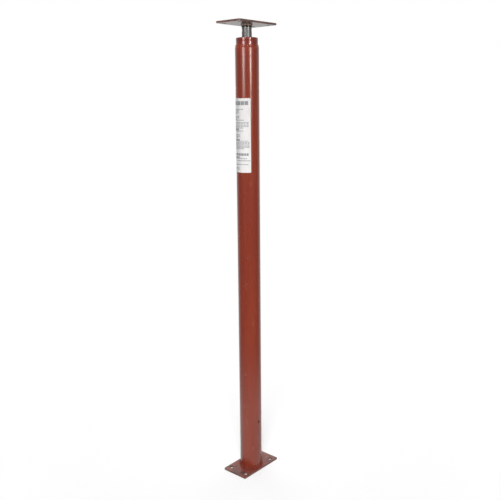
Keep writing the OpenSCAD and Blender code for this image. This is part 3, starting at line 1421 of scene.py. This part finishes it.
@dataclass
class TurningHead:
    """Thrust washer, socket, its weld and the top plate."""

    edge: float = 0.6 * MM
    washer_edge: float = 0.3 * MM
    blued: OiledSteel = OiledSteel("blued_washer_steel", "#55504D", "#2B2725", roughness=0.4)
    plate_paint: MillPlatePaint = MillPlatePaint("painted_head_plate", colour="#72564E", shade="#52403B")
    # the socket's colour is lightened past its own paint to stand in for the light that the plate above keeps
    # off it: painted light
    socket_paint_with_painted_light: MillPlatePaint = MillPlatePaint(
        "socket_steel_with_painted_light", colour="#9C837A", shade="#806860", roughness=0.34
    )
    bead: WeldBead = WeldBead(
        "socket_weld_bead",
        "socket_weld",
        # the bead's colours are lightened to stand in for the light that the plate above keeps off it:
        # painted light
        WeldMetal("socket_bead_with_painted_light", "#86706A", "#66544F"),
        leg=2.5 * MM,
        ripples=46.0,
        ripple_depth=0.25 * MM,
        seed=7.0,
        hangs=True,
    )

    def build(self) -> None:
        """Makes the four pieces."""
        ring = softened("thrust_washer_ring", "thrust_washer", self.washer_edge, self.blued.build())
        seat(ring, Body.BEARING, Slot.WASHER, "thrust_washer")
        plate = softened("head_flat_bar", "top_plate", self.edge, self.plate_paint.build())
        seat(plate, Body.HEAD, Slot.HEAD, "top_plate")
        socket = softened("head_socket_ring", "head_socket", self.edge, self.socket_paint_with_painted_light.build())
        seat(socket, Body.HEAD, Slot.HEAD, "head_socket")
        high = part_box("head_socket")[1]
        self.bead.lay(high.x, high.z, Body.HEAD)


@dataclass(frozen=True)
class BarRow:
    """One row of printed bars on the label.

    Attributes:
        top: Distance from the label's upper edge to the row.
        height: Height of the bars.
        start: Distance from the left margin.
        length: Length of the row.
        words: How many bars the row is broken into; one is a rule.
    """

    top: float
    height: float
    start: float
    length: float
    words: int


@dataclass(frozen=True)
class Paragraph:
    """Rows of thin bars, as in running text.

    Attributes:
        top: Distance from the label's upper edge to the first row.
        count: Number of rows.
        spacing: Distance from one row to the next.
        length: Length of a full row. The last row of a long paragraph is shorter.
        height: Height of a row.
        word: Mean length of a word with its gap.
        last: Length of a long paragraph's last row, in full rows.
    """

    top: float
    count: int
    spacing: float
    length: float
    height: float = 2.4 * MM
    word: float = 9 * MM
    last: float = 0.8

    def rows(self) -> list[BarRow]:
        """Breaks the paragraph into rows.

        Returns:
            The rows, from the top down.
        """
        rows = []
        for i in range(self.count):
            share = self.last if i == self.count - 1 and self.count > 2 else 1.0
            words = max(2, round(share * self.length / self.word))
            rows.append(BarRow(self.top + i * self.spacing, self.height, 0, share * self.length, words))
        return rows


@dataclass
class PaperLabel:
    """A paper label on the outer tube, with plain grey bars in place of print."""

    top: float = 1288 * MM
    bottom: float = 1053 * MM
    middle_angle: float = 161.0
    span_angle: float = 150.0
    thickness: float = 0.15 * MM
    paper_lift: float = 0.02 * MM
    ink_lift: float = 0.03 * MM
    corner: float = 3 * MM
    margin: float = 9 * MM
    word_gap: float = 1.5 * MM
    word_spread: Span = (0.6, 1.4)
    seed: int = 11
    slice_angle: float = 2.5
    slice_rows: int = 12
    bar_columns: int = 33
    sharp_angle: float = 40
    bold_rows: tuple[BarRow, ...] = (
        BarRow(9.2 * MM, 12.3 * MM, 0, 83 * MM, 7),
        BarRow(95 * MM, 4.5 * MM, 0, 50 * MM, 5),
        BarRow(127.8 * MM, 5.5 * MM, 0, 52 * MM, 5),
        BarRow(173 * MM, 7.5 * MM, 0, 83 * MM, 9),
        BarRow(183 * MM, 4.5 * MM, 0, 51 * MM, 5),
    )
    rules: tuple[BarRow, ...] = (
        BarRow(133.3 * MM, 1.4 * MM, 44 * MM, 38 * MM, 1),
        BarRow(195.7 * MM, 1.8 * MM, 40 * MM, 50 * MM, 1),
    )
    paragraphs: tuple[Paragraph, ...] = (
        Paragraph(33.7 * MM, 1, 4.6 * MM, 67 * MM),
        Paragraph(38 * MM, 3, 4.2 * MM, 51 * MM),
        Paragraph(55.5 * MM, 3, 4.2 * MM, 51 * MM),
        Paragraph(67 * MM, 1, 4.2 * MM, 70 * MM),
        Paragraph(74 * MM, 5, 4.4 * MM, 84 * MM),
        Paragraph(101 * MM, 1, 4.2 * MM, 67 * MM),
        Paragraph(113.5 * MM, 3, 4.4 * MM, 54 * MM),
        Paragraph(137 * MM, 6, 4.0 * MM, 86 * MM),
        Paragraph(188.4 * MM, 1, 4.0 * MM, 78 * MM),
        Paragraph(207.6 * MM, 1, 4.2 * MM, 82 * MM),
        Paragraph(218.5 * MM, 2, 4.2 * MM, 50 * MM),
    )
    paper: LabelPaper = LabelPaper()
    black: PrintersInk = PrintersInk("worn_black_ink", "#919297", "#B1B1B5")
    grey: PrintersInk = PrintersInk("grey_ink", "#A0A1A5", "#C2C2C6")

    def build(self) -> None:
        """Makes the sheet and its two inks."""
        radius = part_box("outer_tube")[1].x
        seat(self._sheet(radius), Body.POST, Slot.TUBE)
        fine = [row for paragraph in self.paragraphs for row in paragraph.rows()]
        bold = [*self.bold_rows, *self.rules]
        above = radius + self.thickness + self.ink_lift
        for name, rows, ink in (("label_headings", bold, self.black), ("label_lines", fine, self.grey)):
            seat(self._bars(name, above, rows, ink.build()), Body.POST, Slot.TUBE)

    def _sheet(self, radius: float) -> Object:
        """The paper: a flat sheet with round corners, sliced, bent round the tube and thickened.

        Args:
            radius: Radius of the tube.

        Returns:
            The sheet.
        """
        width = math.radians(self.span_angle) * radius
        half_w, half_h = width / 2, (self.top - self.bottom) / 2
        middle = (self.top + self.bottom) / 2
        rim = []
        for sx, sy, start in ((1, 1, 0), (-1, 1, 90), (-1, -1, 180), (1, -1, 270)):
            centre = (sx * (half_w - self.corner), sy * (half_h - self.corner))
            rim += arc_points(centre, self.corner, start, start + 90)
        shape = bmesh.new()
        shape.faces.new([shape.verts.new((x, y, 0)) for x, y in rim])
        slices = int(self.span_angle / self.slice_angle)
        for i in range(1, slices):
            self._slice(shape, (-half_w + width * i / slices, 0, 0), (1, 0, 0))
        for i in range(1, self.slice_rows):
            self._slice(shape, (0, -half_h + 2 * half_h * i / self.slice_rows, 0), (0, 1, 0))
        reach = radius + self.paper_lift
        for vert in shape.verts:
            angle = vert.co.x / radius + math.radians(self.middle_angle)
            vert.co = Vector((reach * math.cos(angle), reach * math.sin(angle), middle + vert.co.y))
        extruded = bmesh.ops.extrude_face_region(shape, geom=list(shape.faces))
        for vert in (v for v in extruded["geom"] if isinstance(v, bmesh.types.BMVert)):
            vert.co += Vector((vert.co.x, vert.co.y, 0)).normalized() * self.thickness
        return dress(smooth(from_bmesh("label_sheet", shape), self.sharp_angle), self.paper.build())

    @staticmethod
    def _slice(shape: bmesh.types.BMesh, at: Point3, normal: Point3) -> None:
        """Cuts all faces of a flat sheet along a plane."""
        geometry = [*shape.verts, *shape.edges, *shape.faces]
        bmesh.ops.bisect_plane(shape, geom=geometry, plane_co=at, plane_no=normal)

    def _bars(self, name: str, radius: float, rows: Sequence[BarRow], ink: Material) -> Object:
        """Turns rows into bars that lie on the sheet.

        Args:
            name: The object's name.
            radius: Radius at which the ink lies.
            rows: The rows to print.
            ink: The ink's material.

        Returns:
            One mesh that holds all the bars.
        """
        draw = random.Random(self.seed + len(rows))
        left = -math.radians(self.span_angle) * radius / 2 + self.margin
        points, widths, heights = [], [], []
        for row in rows:
            gap = self.word_gap if row.words > 1 else 0.0
            shares = [draw.uniform(*self.word_spread) for _ in range(row.words)]
            room = row.length - gap * (row.words - 1)
            x = left + row.start
            for share in shares:
                width = room * share / sum(shares)
                points.append((x + width / 2, self.top - row.top - row.height / 2, 0))
                widths.append(width)
                heights.append(row.height)
                x += width + gap
        start = bpy.data.meshes.new(name)
        start.from_pydata(points, [], [])
        for label, sizes in (("bar_width", widths), ("bar_height", heights)):
            attribute = start.attributes.new(label, "FLOAT", "POINT")
            attribute.data.foreach_set("value", sizes)
        values = {
            "Tube radius": radius,
            "Middle angle": math.radians(self.middle_angle),
            "Columns": self.bar_columns,
            "Material": ink,
        }
        bars = grow(name, print_tree(), values, start)
        bars.data.shade_smooth()
        return bars


# ---------------------------------------------------------------- the studio


@dataclass(frozen=True)
class Lamp:
    """A lamp that hangs round the prop, out of the camera's sight.

    Attributes:
        name: Name of the lamp.
        azimuth: Angle from the camera's side of the prop, to the right, in degrees.
        distance: Level distance from the prop's axis.
        height: Height of its middle.
        aim: Height on the prop's axis that it looks at.
        matt: Whether it lights matt colour.
        gloss: Whether it shows in gloss.
    """

    name: str
    azimuth: float
    distance: float
    height: float
    aim: float
    matt: bool = field(default=True, kw_only=True)
    gloss: bool = field(default=True, kw_only=True)

    def light(self) -> bpy.types.Light:
        """Makes the light, with its shape and power.

        Returns:
            The light.
        """
        raise NotImplementedError


@dataclass(frozen=True)
class Softbox(Lamp):
    """A rectangular soft lamp.

    Attributes:
        size: Width and height.
        radiance: Brightness, where 1 is white.
        spread: Full angle in degrees that the lamp's grid lets out.
    """

    size: Point2
    radiance: float
    spread: float = 180.0

    def light(self) -> bpy.types.Light:
        """Makes an area light, whose grid takes away the share of power that it stops.

        Returns:
            The light.
        """
        half = math.radians(self.spread) / 2
        share = math.sin(half) ** 2 - (half - math.sin(2 * half) / 2) / math.tan(half)
        data = bpy.data.lights.new(self.name, "AREA")
        data.shape = "RECTANGLE"
        data.size, data.size_y = self.size
        data.spread = math.radians(self.spread)
        data.energy = self.radiance * math.pi * self.size[0] * self.size[1] * share
        return data


@dataclass(frozen=True)
class Spotlight(Lamp):
    """A narrow lamp whose beam fades from its middle to its rim.

    Attributes:
        cone: Full angle in degrees of its beam.
        radius: Radius of its glass.
        level: Brightness of a white surface in the middle of its beam, where 1 is white.
    """

    cone: float
    radius: float
    level: float

    def light(self) -> bpy.types.Light:
        """Makes a spot light, whose power is given for the whole sphere round it.

        Returns:
            The light.
        """
        data = bpy.data.lights.new(self.name, "SPOT")
        data.spot_size = math.radians(self.cone)
        data.spot_blend = 1.0
        data.shadow_soft_size = self.radius
        square = self.distance**2 + (self.aim - self.height) ** 2
        data.energy = self.level * (2 * math.pi) ** 2 * square
        return data


@dataclass
class Studio:
    """Pale floor, soft light and the camera.

    Attributes:
        camera_azimuth: Which way the camera looks, as the angle from +Y towards +X in degrees.
        camera_distance: Level distance from the camera to the prop's axis.
        camera_height: Height of the camera.
        camera_side: How far it stands to the right, beside the line on which it would face the axis.
        camera_pitch: How far it looks down, in degrees.
        camera_roll: How far it is turned about its line of sight, in degrees.
        lens: Focal length in millimetres.
        sensor: Width of the sensor in millimetres.
        floor_radius: Radius of the floor.
        floor_segments: Corners of the floor.
        paper_radius: Radius of the lit paper round the prop.
        paper_fade: Where the lit paper has faded out and where it is fully lit, in paper radii.
        shadow_radius: Radius from which the floor's own white begins to cover the shadow.
        near_white: Share of the floor's own white that is left under the prop.
        room_light: Brightness of the room on matt colour.
        dark_side: Brightness of the room on the camera's side, as gloss shows it.
        behind: From where to where the room turns white behind the prop, as cosines.
        paper_seen: The paper's colour to the eye.
        paper_bounce: The paper's colour for the light that it throws back on the prop.
        lamps: The lamps round the prop.
    """

    camera_azimuth: float = 48.82
    camera_distance: float = 2.204
    camera_height: float = 1.262
    camera_side: float = 0.0033
    camera_pitch: float = 12.08
    camera_roll: float = 0.56
    lens: float = 48.27
    sensor: float = 36.0
    floor_radius: float = 6.0
    floor_segments: int = 96
    paper_radius: float = 0.9
    paper_fade: Span = (1.5, 0.5)
    shadow_radius: float = 0.12
    near_white: float = 0.40
    room_light: float = 0.10
    dark_side: float = 0.18
    behind: Span = (-0.05, 0.85)
    paper_seen: str = "#E9E9E9"
    paper_bounce: str = "#8E8C8A"
    lamps: tuple[Lamp, ...] = (
        Softbox("left_softbox", -35, 2.2, 1.68, 1.68, (0.70, 0.52), 13.5, matt=False),
        Softbox("right_softbox", 33, 2.2, 1.68, 1.68, (0.28, 0.52), 38.0, matt=False),
        Softbox("key_softbox", -2, 4.2, 4.3, 0.62, (2.4, 0.7), 112.0, spread=35.0, gloss=False),
        Softbox("overhead_softbox", 180, 0.9, 3.6, 0.0, (2.4, 2.4), 4.6),
        Softbox("back_left_softbox", -150, 4.0, 0.85, 0.85, (1.2, 0.8), 34.0, spread=27.0, gloss=False),
        Softbox("back_right_softbox", 150, 4.0, 0.85, 0.85, (1.2, 0.8), 34.0, spread=27.0, gloss=False),
        Spotlight("head_spotlight", -12, 2.6, 1.15, 1.608, 8.4, 0.06, 0.85, gloss=False),
    )

    def build(self) -> None:
        """Makes the studio."""
        self._floor()
        self._world()
        for lamp in self.lamps:
            self._hang(lamp)
        self._camera()
        bpy.context.scene.view_settings.view_transform = "Standard"

    @property
    def away(self) -> Vector:
        """Level direction from the camera towards the prop."""
        turn = math.radians(self.camera_azimuth)
        return Vector((math.sin(turn), math.cos(turn), 0))

    @property
    def right(self) -> Vector:
        """Level direction to the camera's right."""
        turn = math.radians(self.camera_azimuth)
        return Vector((math.cos(turn), -math.sin(turn), 0))

    def _room_white(self, tree: Tree, direction: object) -> Node:
        """How white the room is in a direction: 1 behind the prop, 0 on the camera's side."""
        along = add_node(tree, Kind.DOT, [direction, tuple(self.away)])
        return add_node(tree, Kind.RAMP, [along, *self.behind])

    def _floor(self) -> None:
        """A round floor that reads as white and keeps the prop's soft shadow."""
        shape = bmesh.new()
        size = {"segments": self.floor_segments, "radius": self.floor_radius}
        bmesh.ops.create_circle(shape, cap_ends=True, **size)
        material = bpy.data.materials.new("white_floor_paint")
        tree = blank_tree(material)
        add = partial(add_node, tree)
        path = add(Kind.RAY).outputs
        gloss, seen = path["Is Glossy Ray"], path["Is Camera Ray"]
        out = level_radius(tree)
        # only the paper round the prop is lit, so mirrored light from farther off is as dim as the room
        near = add(Kind.RAMP, [out, *(share * self.paper_radius for share in self.paper_fade)])
        direction = add(Kind.DIRECTION, [add(Kind.COORDS).outputs["Object"]])
        lit = add(Kind.MAXIMUM, [near, self._room_white(tree, direction)])
        mirrored = add(Kind.MIX_VALUE, [lit, self.dark_side, 1.0])
        strength = add(Kind.MIX_VALUE, [gloss, 1.0, mirrored])
        # the floor's own white grows with distance, so the shadow stays near the prop
        far = add(Kind.RAMP, [out, self.shadow_radius, self.paper_radius])
        share = add(Kind.MULTIPLY, [seen, add(Kind.MIX_VALUE, [far, self.near_white, 1.0])])
        share = add(Kind.MAXIMUM, [share, gloss])
        share = add(Kind.MAXIMUM, [share, path["Is Transmission Ray"]])
        paper = coats(tree, self.paper_seen, (path["Is Diffuse Ray"], self.paper_bounce))
        matt = add(Kind.MATT, {"Color": paper})
        white = add(Kind.GLOW, {"Color": (1, 1, 1, 1), "Strength": strength})
        add(Kind.MATERIAL_OUTPUT, {"Surface": add(Kind.MIX_SHADER, [share, matt, white])})
        dress(from_bmesh("studio_floor", shape), material)

    def _world(self) -> None:
        """White behind the prop, a dim room on the camera's side."""
        world = bpy.data.worlds.new("studio_world")
        bpy.context.scene.world = world
        tree = blank_tree(world)
        add = partial(add_node, tree)
        path = add(Kind.RAY).outputs
        white = self._room_white(tree, add(Kind.COORDS).outputs["Generated"])
        mirrored = add(Kind.MIX_VALUE, [white, self.dark_side, 1.0])
        level = add(Kind.MIX_VALUE, [path["Is Glossy Ray"], self.room_light, mirrored])
        level = add(Kind.MIX_VALUE, [path["Is Camera Ray"], level, 1.0])
        sky = add(Kind.BACKGROUND, {"Color": (1, 1, 1, 1), "Strength": level})
        add(Kind.WORLD_OUTPUT, {"Surface": sky})

    def _hang(self, lamp: Lamp) -> None:
        """Puts a lamp in its place and points it at the prop's axis.

        Args:
            lamp: The lamp.
        """
        turn = math.radians(lamp.azimuth)
        out = -self.away * math.cos(turn) + self.right * math.sin(turn)
        place = out * lamp.distance + Vector((0, 0, lamp.height))
        aim = Vector((0, 0, lamp.aim)) - place
        obj = bpy.data.objects.new(lamp.name, lamp.light())
        obj.matrix_world = Matrix.Translation(place) @ aim.to_track_quat("-Z", "Y").to_matrix().to_4x4()
        obj.visible_camera = False
        obj.visible_diffuse = lamp.matt
        obj.visible_glossy = lamp.gloss
        bpy.context.scene.collection.objects.link(obj)

    def _camera(self) -> None:
        """The camera, turned a little about its own line of sight."""
        data = bpy.data.cameras.new("camera")
        data.lens = self.lens
        data.sensor_width = self.sensor
        camera = bpy.data.objects.new("camera", data)
        pitch = math.radians(self.camera_pitch)
        look = self.away * math.cos(pitch) - Vector((0, 0, math.sin(pitch)))
        place = -self.away * self.camera_distance + self.right * self.camera_side
        place.z = self.camera_height
        roll = Matrix.Rotation(-math.radians(self.camera_roll), 4, "Z")
        aim = look.to_track_quat("-Z", "Y").to_matrix().to_4x4()
        camera.matrix_world = Matrix.Translation(place) @ aim @ roll
        bpy.context.scene.collection.objects.link(camera)
        bpy.context.scene.camera = camera


def main() -> None:
    """Builds every sub-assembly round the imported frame, then the studio."""
    logging.basicConfig(level=logging.INFO, format="%(message)s")
    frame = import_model()
    record = frame["record"]
    parts: list[Callable[[], None]] = [
        StandingPost(record).build,
        InnerColumn(record).build,
        JackScrew(record).build,
        TurningHead().build,
        PaperLabel().build,
        Studio().build,
    ]
    for build in parts:
        build()


if __name__ == "__main__":
    main()
